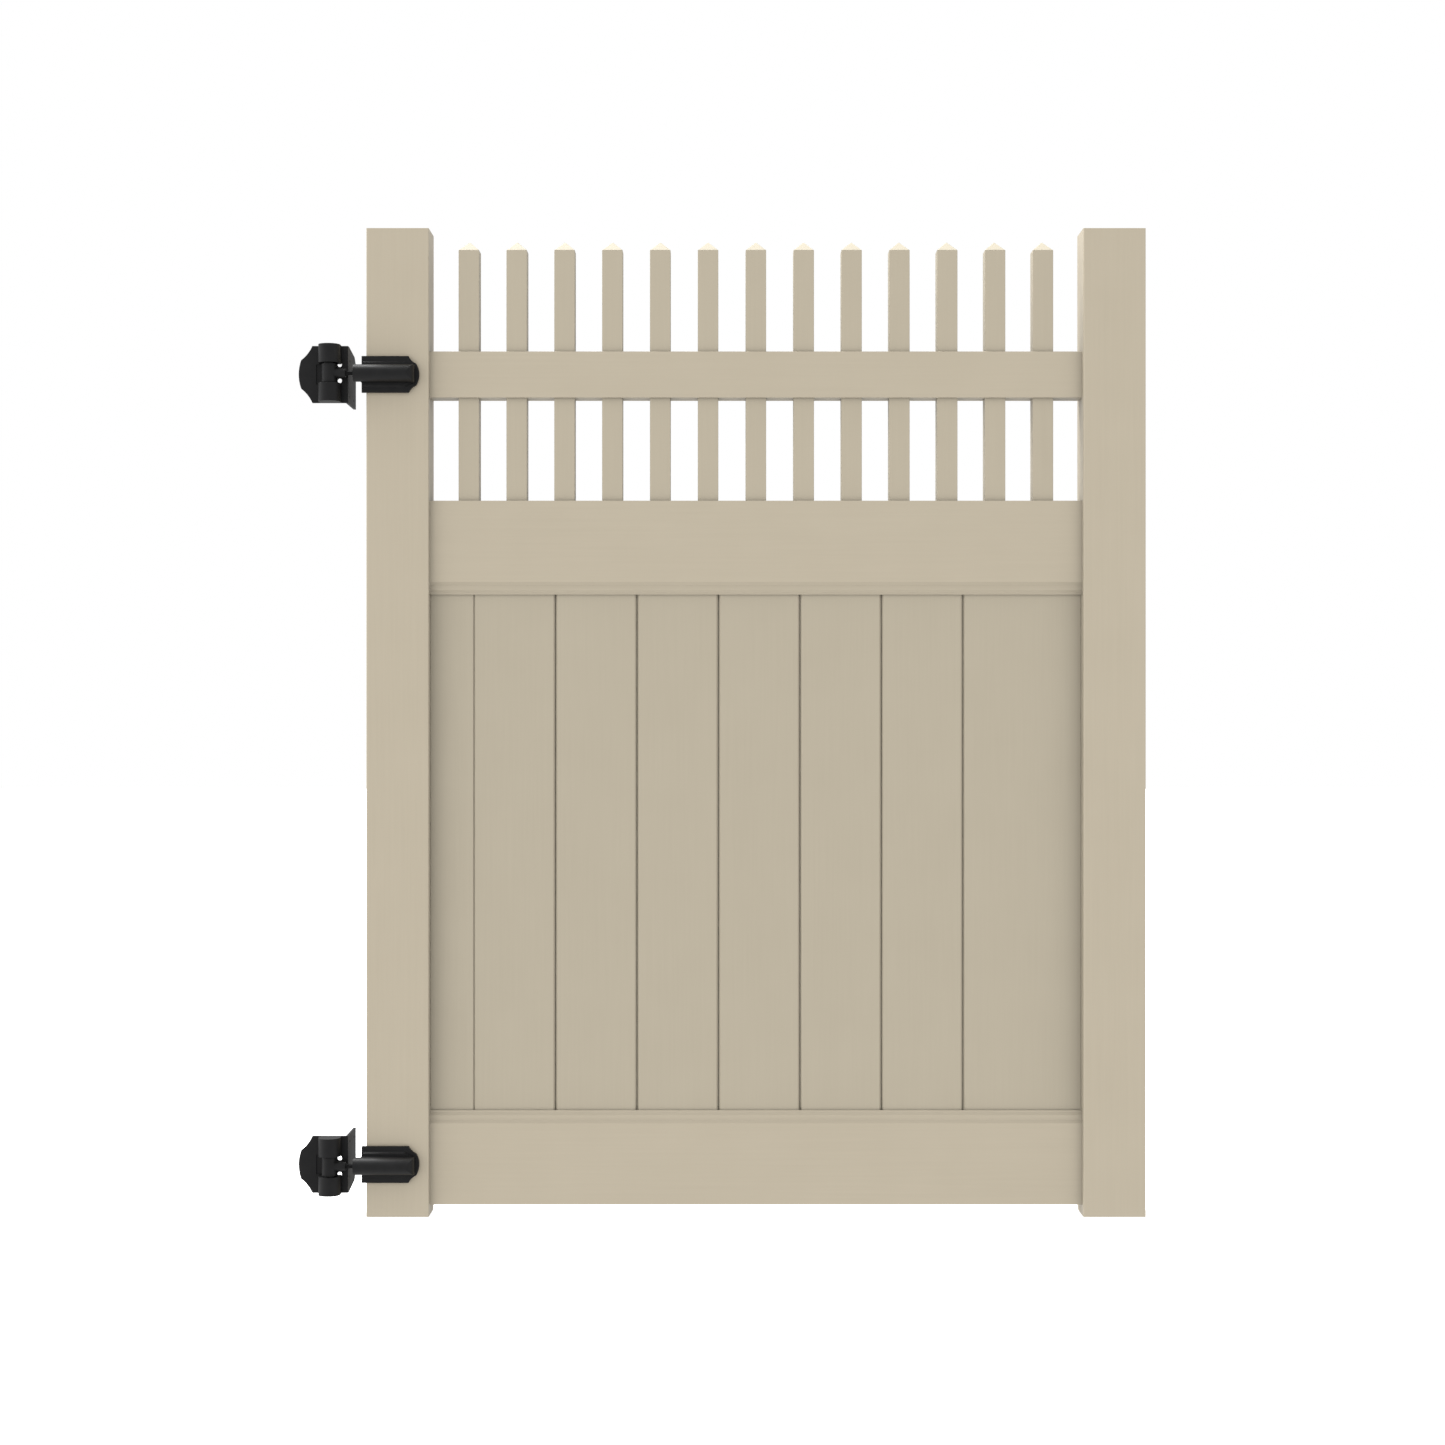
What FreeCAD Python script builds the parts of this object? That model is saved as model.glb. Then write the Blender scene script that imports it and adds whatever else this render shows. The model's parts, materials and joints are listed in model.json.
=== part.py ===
import FreeCAD, Part
import math
import os
import re
import Sketcher

# Garden gate: a hollow vinyl leaf of boards and pickets between two uprights, hung on two black hinges.
# X runs along the gate from the hinge side, Y from its front to its back and Z upwards, in millimetres.
# The origin is under the middle of the gate and its hinges, level with the foot of the uprights.

SIZES = {
    # the leaf and its uprights
    "gate_height": 1828.8,
    "frame_width": 1441.7,
    "upright_width": 115.5,
    "upright_depth": 82.5,
    "upright_wall": 3.8,
    "upright_corner": 2.4,
    "plug_height": 12,
    "plug_skin": 3,
    "insert_width": 44.45,
    "insert_wall": 3,
    # rails
    "rail_side_room": 3.85,
    "rail_wall": 2.5,
    "rail_corner": 1.6,
    "rail_tail": 62,
    "bottom_rail_lift": 19.8,
    "bottom_rail_height": 173.7,
    "middle_rail_base": 1152.4,
    "middle_rail_height": 173.7,
    "top_rail_base": 1517.5,
    "top_rail_height": 85.7,
    "lip_nose": 3.7,
    "lip_low_bevel": 5,
    "lip_flat": 8.5,
    "lip_high_bevel": 5.5,
    "lip_wall": 3.5,
    "slot_depth": 22,
    "stiffener_wall": 2,
    "block_length": 40,
    "block_screw_spacing": 40,
    "block_screw_end": 8,
    # boards
    "board_thickness": 22.2,
    "board_wall": 1.6,
    "board_pitch": 151.7,
    "first_board_width": 80.8,
    "board_seat": 20,
    "board_cell": 45,
    "board_bevel": 3.4,
    "board_reveal": 1.9,
    "first_joint_bevel": 2.2,
    "first_joint_reveal": 0.4,
    "tongue_thickness": 8,
    "tongue_length": 9,
    # pickets
    "picket_size": 38.1,
    "picket_wall": 1.8,
    "picket_corner": 1.2,
    "picket_pitch": 88.9,
    "picket_top": 1792.3,
    "picket_seat": 30,
    "cap_height": 18,
    "cap_plug": 16,
    # fits
    "fit_gap": 0.3,
    "running_gap": 0.05,
    "screw_gap": 0.05,
    # screws
    "screw_radius": 2.4,
    "head_radius": 4.5,
    "head_height": 1.9,
    "head_sink": 2.1,
    "strap_screw_length": 20,
    # hinges
    "upper_hinge_height": 1557.5,
    "lower_hinge_height": 98,
    "hinge_gap": 32.9,
    "leaf_width": 91.2,
    "leaf_height": 105.1,
    "leaf_thickness": 4.5,
    "leaf_shoulder": 86.6,
    "leaf_shoulder_height": 53,
    "leaf_top_width": 66.1,
    "leaf_ogee_radius": 65,
    "flange_depth": 95,
    "flange_outer_drop": 22,
    "flange_inner_drop": 9,
    "flange_outer_step": 16,
    "flange_inner_step": 12,
    "flange_hole_radius": 2.75,
    "flange_hole_spacing": 50,
    "flange_hole_rise": 66,
    "flange_hole_offset": 44,
    "flange_hole_drop": 6,
    "barrel_radius": 20,
    "barrel_reach": 43.3,
    "barrel_offset": 31.8,
    "window_height": 37,
    "window_width": 47,
    "window_recess": 2.4,
    "sight_hole_radius": 4.2,
    "sight_hole_side": 16.2,
    "sight_hole_outer": 18.3,
    "sight_hole_inner": 11.4,
    "barrel_floor": 4,
    "pin_radius": 5,
    "pin_head_radius": 7.5,
    "pin_head_height": 3,
    "pin_seat": 2,
    "pin_top_room": 1,
    "bush_radius": 7,
    "bush_flange_radius": 11,
    "bush_flange": 1.5,
    "bush_length": 14,
    "knuckle_radius": 13.8,
    "arm_root_radius": 11.8,
    "arm_end_radius": 8,
    "arm_length": 29.9,
    "bolt_radius": 4,
    "bolt_length": 78,
    "bolt_start": 9,
    "collar_size": 9.2,
    "collar_length": 3.2,
    "spring_radius": 10.8,
    "spring_wire": 1.3,
    "spring_pitch": 2.9,
    "cap_radius": 14.5,
    "tension_cap_height": 6,
    "socket_radius": 5,
    "socket_depth": 3.5,
    "notch_radius": 1.3,
    "nose_hole_room": 1.2,
    "strap_leg": 7.5,
    "strap_leg_depth": 58,
    "strap_leg_height": 50,
    "strap_screw_side": 17,
    "strap_screw_pitch": 19,
    "strap_screw_edge": 11.5,
    "strap_side_screw_edge": 9,
    "strap_side_screw_depth": 23.2,
    "strap_plate": 4,
    "strap_height": 67.2,
    "boss_radius": 11.5,
    "boss_length": 92,
    "boss_end": 10,
    "cover_wall": 2,
    "cover_rim": 8,
    "cover_step": 4,
    "cover_step_height": 43,
    "cover_step_bevel": 3,
    "cover_step_shoulder": 69,
    "cover_step_tip": 87,
    "cover_top_length": 79,
    "cover_shoulder": 93,
    "cover_shoulder_height": 39.6,
    "cover_length": 98.4,
    "cover_ogee_radius": 28,
    "ridge_radius": 16,
    "ridge_reach": 20,
    "ridge_end": 91,
}

doc = FreeCAD.newDocument("garden_gate")
sheet = doc.addObject("Spreadsheet::Sheet", "Sizes")
for row, (alias, value) in enumerate(SIZES.items(), start=1):
    sheet.set(f"A{row}", alias)
    sheet.set(f"B{row}", str(value))
    sheet.setAlias(f"B{row}", alias)
doc.recompute()

WORD = re.compile(r"[a-z][a-z_0-9]*")
nodes = []


def bind(text):
    """Turn a formula in plain size names into one that reads the sheet."""
    return WORD.sub(lambda hit: f"Sizes.{hit.group()}" if hit.group() in SIZES else hit.group(), str(text))


def number(text):
    """Work out a formula now, for first positions and for counts."""
    return float(sheet.evalExpression(bind(text)))


def plus(*parts):
    """Add formulas up."""
    return " + ".join(f"({part})" for part in parts)


def less(first, second):
    """Take one formula from another."""
    return f"({first}) - ({second})"


# ---------------------------------------------------------------- shared places, as formulas
LEFT = "(hinge_gap + leaf_width - frame_width) / 2"
RIGHT = "(hinge_gap + leaf_width + frame_width) / 2"
OPEN_LEFT = plus(LEFT, "upright_width")
OPEN_RIGHT = less(RIGHT, "upright_width")
OPENING = "frame_width - 2 * upright_width"
FRONT = "(barrel_reach - max(upright_depth; flange_depth)) / 2"
MIDDLE = plus(FRONT, "upright_depth / 2")
RAIL_DEPTH = "picket_size + 2 * (rail_side_room + rail_wall)"
RAIL_FRONT = less(MIDDLE, f"({RAIL_DEPTH}) / 2")
LIP_HEIGHT = "lip_nose + lip_low_bevel + lip_flat + lip_high_bevel"
RAIL_LEFT = less(OPEN_LEFT, "rail_tail")
RAIL_LENGTH = plus(OPENING, "2 * rail_tail")
CAVITY_FLOOR = "slot_depth + rail_wall"
CAVITY_DEPTH = "picket_size + 2 * rail_side_room"
STIFFENER_DEPTH = less(CAVITY_DEPTH, "fit_gap")
AXIS_X = less(LEFT, "hinge_gap + barrel_offset")
AXIS_Y = less(FRONT, "barrel_reach - barrel_radius")
FLANGE_X = less(LEFT, "hinge_gap")
HINGE_Z = "upper_hinge_height"


# ---------------------------------------------------------------- makers
def place(piece, x, y, z):
    """Tie a piece's position to the sheet."""
    for letter, text in zip("xyz", (x, y, z)):
        piece.setExpression(f"Placement.Base.{letter}", bind(text))
    return piece


def box(name, x, y, z, length, width, height):
    piece = doc.addObject("Part::Box", name)
    for size, text in (("Length", length), ("Width", width), ("Height", height)):
        piece.setExpression(size, bind(text))
    return place(piece, x, y, z)


TURNS = {
    "x": FreeCAD.Rotation(FreeCAD.Vector(0, 1, 0), 90),
    "y": FreeCAD.Rotation(FreeCAD.Vector(1, 0, 0), -90),
    "z": FreeCAD.Rotation(),
}


def cylinder(name, x, y, z, radius, height, along="z"):
    piece = doc.addObject("Part::Cylinder", name)
    piece.Placement.Rotation = TURNS[along]
    piece.setExpression("Radius", bind(radius))
    piece.setExpression("Height", bind(height))
    return place(piece, x, y, z)


def cone(name, x, y, z, radius_1, radius_2, height, along="z"):
    piece = doc.addObject("Part::Cone", name)
    piece.Placement.Rotation = TURNS[along]
    piece.setExpression("Radius1", bind(radius_1))
    piece.setExpression("Radius2", bind(radius_2))
    piece.setExpression("Height", bind(height))
    return place(piece, x, y, z)


def hexagon(name, x, y, z, radius, height, along="z"):
    piece = doc.addObject("Part::Prism", name)
    piece.Polygon = 6
    piece.Placement.Rotation = TURNS[along]
    piece.setExpression("Circumradius", bind(radius))
    piece.setExpression("Height", bind(height))
    return place(piece, x, y, z)


def join(name, pieces):
    piece = doc.addObject("Part::MultiFuse", name)
    piece.Shapes = pieces
    piece.Refine = True
    return piece


def group(name, pieces):
    piece = doc.addObject("Part::Compound", name)
    piece.Links = pieces
    return piece


def common(name, pieces):
    """What all the pieces share."""
    piece = doc.addObject("Part::MultiCommon", name)
    piece.Shapes = pieces
    return piece


def cut(name, base, tools):
    """Take one or more tools away from a base."""
    piece = doc.addObject("Part::Cut", name)
    piece.Base = base
    piece.Tool = tools[0] if len(tools) == 1 else group(name + "_tools", tools)
    piece.Refine = True
    return piece


def node(label, piece):
    """Name a finished sub-part and keep it for the export."""
    piece.Label = label
    nodes.append(piece)
    return piece


def new_body(name):
    return doc.addObject("PartDesign::Body", name)


def arc_between(start, end, radius):
    """An arc from start to end: it bows to the right of the way from start to end if radius is positive."""
    chord = end - start
    half = chord.Length / 2
    across = FreeCAD.Vector(chord.y, -chord.x, 0).normalize()
    rise = abs(radius) - math.sqrt(radius * radius - half * half)
    top = (start + end) / 2 + across * math.copysign(rise, radius)
    return Part.Arc(start, top, end)


def add_loop(sketch, points, arcs=None):
    """Draw one closed outline whose corners are tied to the sheet; arcs gives the radius of a curved side."""
    arcs = arcs or {}
    first = sketch.GeometryCount
    corners = [FreeCAD.Vector(number(u), number(v), 0) for u, v in points]
    count = len(corners)
    ends = []
    for side, (start, end) in enumerate(zip(corners, corners[1:] + corners[:1])):
        if side in arcs:
            sketch.addGeometry(arc_between(start, end, number(arcs[side])), False)
        else:
            sketch.addGeometry(Part.LineSegment(start, end), False)
        begins_here = sketch.getPoint(first + side, 1).distanceToPoint(start) < 1e-6
        ends.append((1, 2) if begins_here else (2, 1))
    for side in range(count):
        after = (side + 1) % count
        sketch.addConstraint(
            Sketcher.Constraint("Coincident", first + side, ends[side][1], first + after, ends[after][0])
        )
        for kind, text in zip(("DistanceX", "DistanceY"), points[side]):
            tied = sketch.addConstraint(
                Sketcher.Constraint(kind, -1, 1, first + side, ends[side][0], number(text))
            )
            sketch.setExpression(f"Constraints[{tied}]", bind(text))
        if side in arcs:
            text = f"abs({arcs[side]})"
            tied = sketch.addConstraint(Sketcher.Constraint("Radius", first + side, number(text)))
            sketch.setExpression(f"Constraints[{tied}]", bind(text))


def new_sketch(body, name, plane, offset="0"):
    """A sketch on one of the body's own origin planes, moved along the plane's normal by offset."""
    sketch = body.newObject("Sketcher::SketchObject", name)
    support = next(one for one in body.Origin.OriginFeatures if one.Role == plane)
    sketch.AttachmentSupport = [(support, "")]
    sketch.MapMode = "FlatFace"
    sketch.setExpression("AttachmentOffset.Base.z", bind(offset))
    return sketch


def pad(body, sketch, length, flip=False):
    feature = body.newObject("PartDesign::Pad", sketch.Name + "_pad")
    feature.Profile = sketch
    feature.Reversed = flip
    feature.setExpression("Length", bind(length))
    sketch.Visibility = False
    return feature


def round_edges(body, base, edges, radius):
    feature = body.newObject("PartDesign::Fillet", body.Name + "_round")
    feature.Base = (base, edges)
    feature.setExpression("Radius", bind(radius))
    return feature


def rectangle(x, y, width, depth):
    """The corners of a rectangle, as formulas."""
    far_x = plus(x, width)
    far_y = plus(y, depth)
    return [(x, y), (far_x, y), (far_x, far_y), (x, far_y)]


def long_edges(feature, direction):
    """Names of the edges that run along a direction."""
    doc.recompute()
    names = []
    for index, edge in enumerate(feature.Shape.Edges, start=1):
        way = edge.Vertexes[-1].Point - edge.Vertexes[0].Point
        if way.Length > 0 and abs(way.normalize().dot(direction)) > 0.999:
            names.append(f"Edge{index}")
    return names


UP = FreeCAD.Vector(0, 0, 1)
ALONG = FreeCAD.Vector(1, 0, 0)


def square_tube(name, x, y, z, width, depth, height, wall, corner):
    """A hollow extrusion that stands along Z, with rounded outer corners."""
    body = new_body(name)
    outer = new_sketch(body, name + "_outline", "XY_Plane", z)
    add_loop(outer, rectangle(x, y, width, depth))
    solid = pad(body, outer, height)
    round_edges(body, solid, long_edges(solid, UP), corner)
    inner = new_sketch(body, name + "_bore", "XY_Plane", z)
    add_loop(inner, rectangle(plus(x, wall), plus(y, wall), less(width, f"2 * ({wall})"),
                              less(depth, f"2 * ({wall})")))
    hollow = body.newObject("PartDesign::Pocket", name + "_hollow")
    hollow.Profile = inner
    hollow.Reversed = True
    hollow.setExpression("Length", bind(height))
    return body


def shifted(start, distance, along, back):
    """A start moved by distance along x or y, the other way if back is true."""
    sign = "-" if back else ""
    shares = {"x": (1, 0, 0), "y": (0, 1, 0)}[along]
    return [plus(text, f"{sign}({distance}) * {share}") for text, share in zip(start, shares)]


def screw(name, x, y, z, length, along, back=False):
    """A pan-headed screw whose head starts at the given point; back makes it run the other way."""
    start = (x, y, z)
    head_place = shifted(start, "head_height", along, back) if back else start
    shank_place = shifted(start, length if back else "head_height", along, back)
    head = cylinder(name + "_head", *head_place, "head_radius", "head_height", along)
    shank = cylinder(name + "_shank", *shank_place, "screw_radius", less(length, "head_height"), along)
    return join(name, [head, shank])


def screw_hole(name, x, y, z, length, along, back=False, sunk=True):
    """The clearance for a screw, with its counterbore where sunk is true."""
    start = (x, y, z)
    bore_place = shifted(start, length, along, back) if back else start
    tools = [cylinder(name + "_bore", *bore_place, "screw_radius + screw_gap", length, along)]
    if sunk:
        sink_place = shifted(start, "head_sink", along, back) if back else start
        tools.append(
            cylinder(name + "_sink", *sink_place, "head_radius + 2 * screw_gap", "head_sink", along)
        )
    return tools


# ---------------------------------------------------------------- rails
RAILS = {
    "top": ("top_rail_base", "top_rail_height"),
    "middle": ("middle_rail_base", "middle_rail_height"),
    "bottom": ("bottom_rail_lift", "bottom_rail_height"),
}


def deep_rail(name, base, height, lip_up):
    """A deep rail: a hollow section with a stepped lip and a slot on the side that takes the boards."""
    half = f"({RAIL_DEPTH}) / 2"
    slot = "board_thickness / 2 + fit_gap"
    nose = f"{slot} + lip_wall"
    # the lip's two bevels share what the nose stands back from the face
    step = f"({half} - ({nose}))"
    inner = f"{nose} + {step} * lip_low_bevel / (lip_low_bevel + lip_high_bevel)"
    side = [
        (nose, "0"),
        (nose, "lip_nose"),
        (inner, "lip_nose + lip_low_bevel"),
        (inner, "lip_nose + lip_low_bevel + lip_flat"),
        (half, LIP_HEIGHT),
        (half, height),
    ]
    section = [(slot, "0")] + side

    def at(depth, rise, sign):
        level = less(plus(base, height), rise) if lip_up else plus(base, rise)
        return (plus(MIDDLE, f"{sign} * ({depth})"), level)

    outline = [at(depth, rise, 1) for depth, rise in section]
    outline += [at(depth, rise, -1) for depth, rise in reversed(section)]
    outline += [at(slot, "slot_depth", -1), at(slot, "slot_depth", 1)]
    cavity_half = f"({CAVITY_DEPTH}) / 2"
    cavity_top = less(height, "rail_wall")
    cavity = [
        at(cavity_half, CAVITY_FLOOR, 1),
        at(cavity_half, cavity_top, 1),
        at(cavity_half, cavity_top, -1),
        at(cavity_half, CAVITY_FLOOR, -1),
    ]
    body = new_body(name)
    sketch = new_sketch(body, name + "_section", "YZ_Plane", RAIL_LEFT)
    add_loop(sketch, outline)
    add_loop(sketch, cavity)
    pad(body, sketch, RAIL_LENGTH)
    return body


def rail_envelope(name, base, height):
    """The space that a rail's end takes in an upright, with its clearance."""
    return box(
        name,
        less(RAIL_LEFT, "fit_gap"),
        less(RAIL_FRONT, "fit_gap"),
        less(base, "fit_gap"),
        plus(RAIL_LENGTH, "2 * fit_gap"),
        plus(RAIL_DEPTH, "2 * fit_gap"),
        plus(height, "2 * fit_gap"),
    )


# pickets: as many as fit between the uprights at the set spacing, centred
picket_count = int(number(OPENING) / number("picket_pitch"))
PICKET_FIRST = plus("(hinge_gap + leaf_width) / 2", f"-({picket_count} - 1) * picket_pitch / 2")
PICKET_FOOT = less(plus("middle_rail_base", "middle_rail_height"), "rail_wall + picket_seat")
picket_centres = [plus(PICKET_FIRST, f"{index} * picket_pitch") for index in range(picket_count)]


def picket_holes(name, z, height):
    """Square holes for the pickets through a rail."""
    return [
        box(
            f"{name}_{index}",
            less(centre, "picket_size / 2 + fit_gap"),
            less(MIDDLE, "picket_size / 2 + fit_gap"),
            z,
            "picket_size + 2 * fit_gap",
            "picket_size + 2 * fit_gap",
            height,
        )
        for index, centre in enumerate(picket_centres, start=1)
    ]


def top_rail():
    body = new_body("top_rail_body")
    outer = new_sketch(body, "top_rail_outline", "YZ_Plane", RAIL_LEFT)
    add_loop(outer, rectangle(RAIL_FRONT, "top_rail_base", RAIL_DEPTH, "top_rail_height"))
    solid = pad(body, outer, RAIL_LENGTH)
    round_edges(body, solid, long_edges(solid, ALONG), "rail_corner")
    inner = new_sketch(body, "top_rail_bore", "YZ_Plane", RAIL_LEFT)
    add_loop(
        inner,
        rectangle(plus(RAIL_FRONT, "rail_wall"), "top_rail_base + rail_wall", CAVITY_DEPTH,
                  "top_rail_height - 2 * rail_wall"),
    )
    hollow = body.newObject("PartDesign::Pocket", "top_rail_hollow")
    hollow.Profile = inner
    hollow.Reversed = True
    hollow.setExpression("Length", bind(RAIL_LENGTH))
    holes = picket_holes("top_rail_hole", "top_rail_base - 1", "top_rail_height + 2")
    node("top_rail", cut("top_rail_cut", body, holes))


def middle_rail():
    body = deep_rail("middle_rail_body", "middle_rail_base", "middle_rail_height", False)
    top = plus("middle_rail_base", "middle_rail_height", "-rail_wall - 1")
    holes = picket_holes("middle_rail_hole", top, "rail_wall + 2")
    node("middle_rail", cut("middle_rail_cut", body, holes))


def bottom_rail():
    node("bottom_rail", deep_rail("bottom_rail_body", "bottom_rail_lift", "bottom_rail_height", True))


def stiffener(label, z, height):
    """An aluminium box section that lies in a deep rail's cavity."""
    x = RAIL_LEFT
    y = less(MIDDLE, f"({STIFFENER_DEPTH}) / 2")
    outer = box(label + "_outer", x, y, z, RAIL_LENGTH, STIFFENER_DEPTH, height)
    inner = box(
        label + "_inner",
        less(x, "1"),
        plus(y, "stiffener_wall"),
        plus(z, "stiffener_wall"),
        plus(RAIL_LENGTH, "2"),
        less(STIFFENER_DEPTH, "2 * stiffener_wall"),
        less(height, "2 * stiffener_wall"),
    )
    node(label, cut(label + "_cut", outer, [inner]))


MIDDLE_STIFFENER = ("middle_rail_base + slot_depth + rail_wall",
                    "middle_rail_height - slot_depth - 2 * rail_wall - picket_seat")
BOTTOM_STIFFENER = ("bottom_rail_lift + rail_wall",
                    "bottom_rail_height - slot_depth - 2 * rail_wall - fit_gap")

# where each rail's end blocks stand: centre height, height and depth of the space that holds them
BLOCKS = {
    "top": (plus("top_rail_base", "top_rail_height / 2"), "top_rail_height - 2 * rail_wall", CAVITY_DEPTH),
    "middle": (plus(MIDDLE_STIFFENER[0], f"({MIDDLE_STIFFENER[1]}) / 2"),
               less(MIDDLE_STIFFENER[1], "2 * stiffener_wall"), less(STIFFENER_DEPTH, "2 * stiffener_wall")),
    "bottom": (plus(BOTTOM_STIFFENER[0], f"({BOTTOM_STIFFENER[1]}) / 2"),
               less(BOTTOM_STIFFENER[1], "2 * stiffener_wall"), less(STIFFENER_DEPTH, "2 * stiffener_wall")),
}
FRAME_SCREW_LENGTH = "upright_width - rail_tail + block_length - block_screw_end"


def frame_screw_places():
    """Name, side, start and height of every screw that holds the frame together."""
    places = []
    for rail, (centre, _, _) in BLOCKS.items():
        for side, x, back in (("hinge", plus(LEFT, "head_sink - head_height"), False),
                              ("latch", less(RIGHT, "head_sink - head_height"), True)):
            for number_of, sign in enumerate((-1, 1), start=1):
                height = plus(centre, f"{sign} * block_screw_spacing / 2")
                places.append((f"{rail}_{side}_screw_{number_of}", side, x, height, back))
    return places


def rail_ends():
    """The blocks in the rails' ends and the long screws that draw them to the uprights."""
    solids = []
    places = frame_screw_places()
    for rail, (centre, height, depth) in BLOCKS.items():
        for side, x in (("hinge", RAIL_LEFT), ("latch", plus(OPEN_RIGHT, "rail_tail - block_length"))):
            name = f"{rail}_{side}_block"
            block = box(
                name,
                x,
                less(MIDDLE, f"({depth}) / 2 - fit_gap"),
                less(centre, f"({height}) / 2 - fit_gap"),
                "block_length",
                less(depth, "2 * fit_gap"),
                less(height, "2 * fit_gap"),
            )
            tools = []
            for screw_name, screw_side, start, level, back in places:
                if screw_name.startswith(f"{rail}_{side}"):
                    tools += screw_hole(f"{screw_name}_in_block", start, MIDDLE, level,
                                        plus(FRAME_SCREW_LENGTH, "1"), "x", back, sunk=False)
            solids.append(cut(name + "_cut", block, tools))
    node("rail_end_blocks", group("rail_end_block_group", solids))
    screws = [
        screw(name, start, MIDDLE, level, FRAME_SCREW_LENGTH, "x", back)
        for name, _, start, level, back in places
    ]
    node("frame_screws", group("frame_screw_group", screws))


# ---------------------------------------------------------------- uprights
INSIDE = "upright_wall + fit_gap / 2"


def strap_screw_places(centre):
    """Front screws and side screws of one strap: name, x, y, z, direction."""
    places = []
    for row, sign in enumerate((-1, 1), start=1):
        level = plus(centre, f"{sign} * (strap_height / 2 - strap_screw_edge)")
        for column in range(2):
            across_x = plus(LEFT, "strap_screw_side", f"{column} * strap_screw_pitch")
            places.append((f"front_{row}_{column + 1}", across_x,
                           less(FRONT, "strap_plate - head_sink + head_height"), level, "y"))
        side_level = plus(centre, f"{sign} * (strap_leg_height / 2 - strap_side_screw_edge)")
        places.append((f"side_{row}", less(LEFT, "strap_leg - head_sink + head_height"),
                       plus(FRONT, "strap_side_screw_depth"), side_level, "x"))
    return places


def upright(side, x, insert_x):
    """One upright with its windows and holes, its two plugs and the insert that stiffens it."""
    name = f"{side}_upright"
    tube = square_tube(name + "_tube", x, FRONT, "0", "upright_width", "upright_depth", "gate_height",
                       "upright_wall", "upright_corner")
    windows = [rail_envelope(f"{name}_{rail}_window", *RAILS[rail]) for rail in RAILS]
    face = LEFT if side == "hinge" else RIGHT
    reach = "upright_width - rail_tail"
    drilled = []
    insert_holes = []
    for screw_name, screw_side, _, level, back in frame_screw_places():
        if screw_side == side:
            drilled += screw_hole(f"{name}_{screw_name}", face, MIDDLE, level, reach, "x", back)
            insert_holes += screw_hole(f"{name}_insert_{screw_name}", face, MIDDLE, level, reach, "x", back,
                                       sunk=False)
    if side == "hinge":
        for centre, hinge in (("upper_hinge_height", "upper"), ("lower_hinge_height", "lower")):
            for label, sx, sy, sz, along in strap_screw_places(centre):
                drilled += screw_hole(f"{name}_{hinge}_{label}", sx, sy, sz, "strap_screw_length + 1", along,
                                      sunk=False)
                insert_holes += screw_hole(f"{name}_insert_{hinge}_{label}", sx, sy, sz,
                                           "strap_screw_length + 1", along, sunk=False)
    node(name, cut(name + "_cut", tube, windows + drilled))

    inside_x = plus(x, INSIDE)
    inside_y = plus(FRONT, INSIDE)
    plug_width = "upright_width - 2 * upright_wall - fit_gap"
    plug_depth = "upright_depth - 2 * upright_wall - fit_gap"
    for end, z, hollow_z in (("foot", "0", "plug_skin"), ("top", "gate_height - plug_height",
                                                          "gate_height - plug_height - 1")):
        plug = box(f"{name}_{end}_plug_block", inside_x, inside_y, z, plug_width, plug_depth, "plug_height")
        hollow = box(
            f"{name}_{end}_plug_hollow",
            plus(inside_x, "plug_skin"),
            plus(inside_y, "plug_skin"),
            hollow_z,
            less(plug_width, "2 * plug_skin"),
            less(plug_depth, "2 * plug_skin"),
            "plug_height - plug_skin + 1",
        )
        node(f"{name}_{end}_plug", cut(f"{name}_{end}_plug_cut", plug, [hollow]))

    outer = box(name + "_insert_outer", insert_x, inside_y, "plug_height", "insert_width", plug_depth,
                "gate_height - 2 * plug_height")
    inner = box(
        name + "_insert_inner",
        plus(insert_x, "insert_wall"),
        plus(inside_y, "insert_wall"),
        "0",
        "insert_width - 2 * insert_wall",
        less(plug_depth, "2 * insert_wall"),
        "gate_height",
    )
    node(name + "_insert", cut(name + "_insert_cut", outer, [inner] + insert_holes))


# ---------------------------------------------------------------- boards
full_boards = int(number(less(OPENING, "first_board_width")) / number("board_pitch")) - 1


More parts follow.
